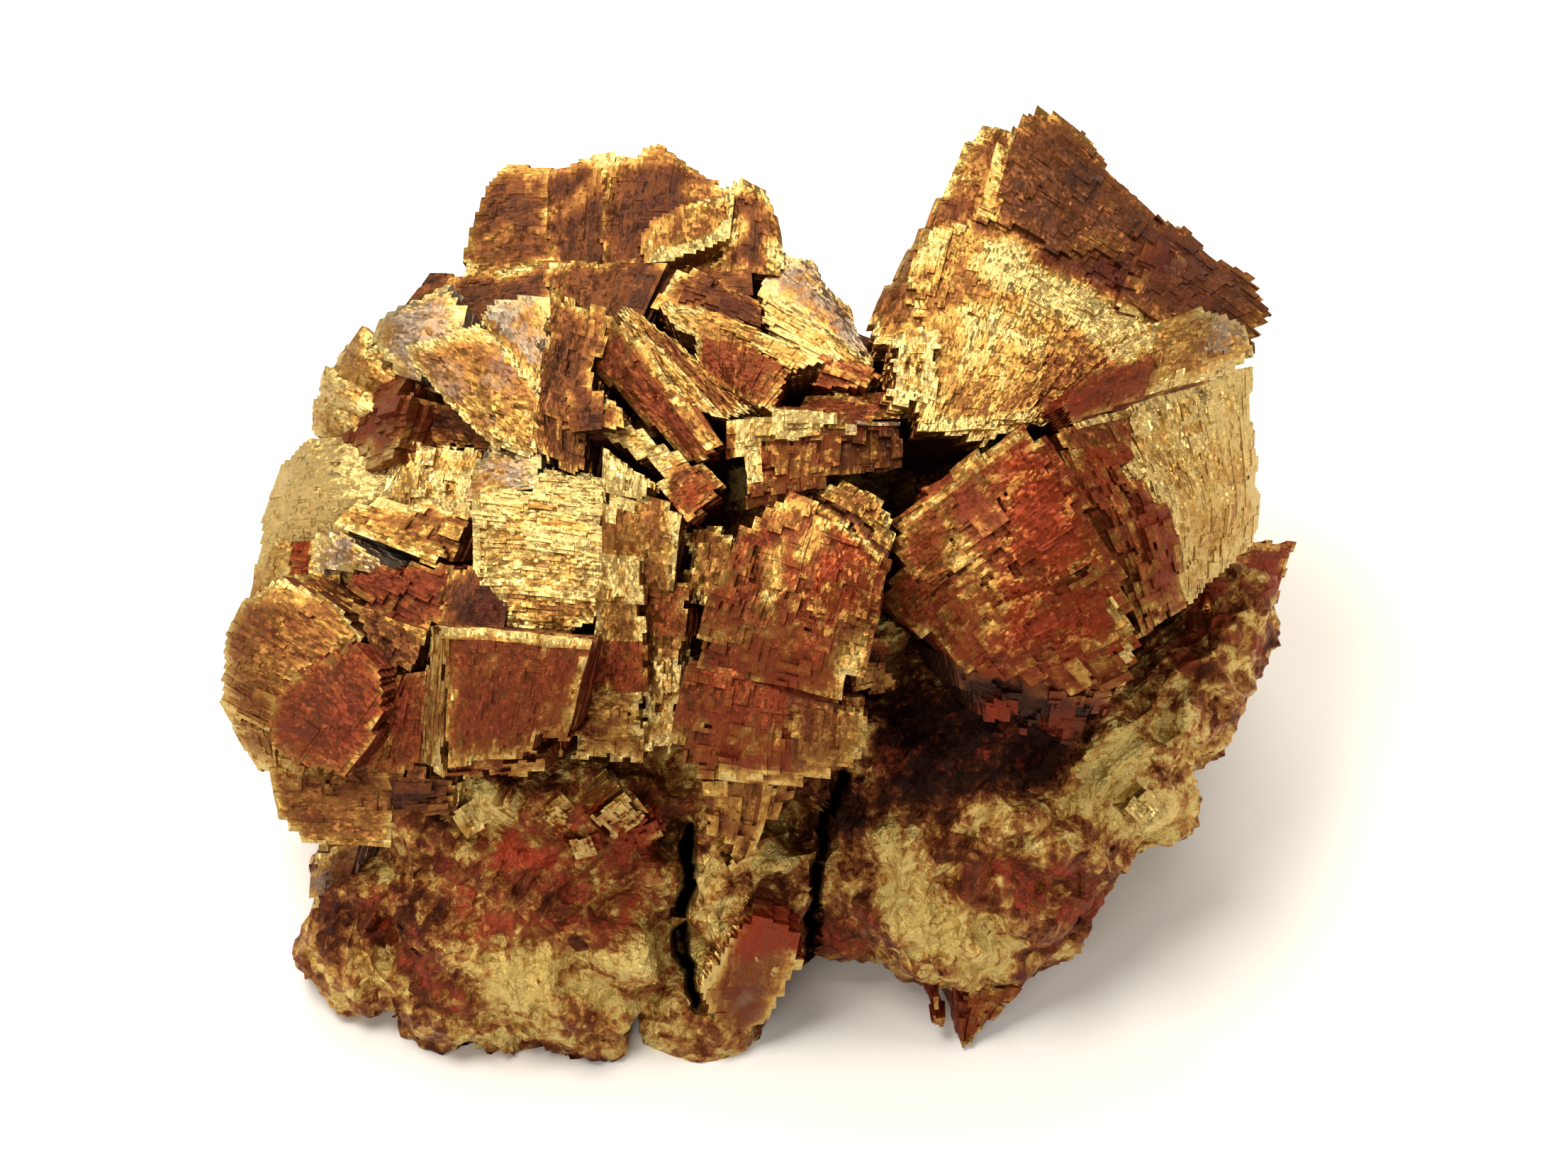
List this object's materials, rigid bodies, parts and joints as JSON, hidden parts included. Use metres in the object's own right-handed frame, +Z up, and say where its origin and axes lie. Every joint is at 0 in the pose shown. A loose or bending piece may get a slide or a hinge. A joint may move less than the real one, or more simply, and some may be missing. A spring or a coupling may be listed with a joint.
{
  "type": "pyrite crystal cluster",
  "caption": "Pyrite cluster: a rosette of stepped, bladed, tarnished metallic crystals fanning out over a lumpy massive base that rests flat.",
  "frame": {"origin": "a point inside the flat broken face that the cluster rests on, near its middle", "axes": "+Z up from the resting face; +X to the viewer's right; -Y towards the viewer, the side that the rosette faces forward and up"},
  "size_m": [0.0802, 0.0598, 0.0488],
  "materials": {
    "tarnished_pyrite": "brassy gold metallic crystal faces under brown and rust-red iron-oxide tarnish, with greenish-gold glints on the massive base"
  },
  "bodies": {
    "root": {"pyrite_cluster": "tarnished_pyrite"}
  },
  "joints": []
}
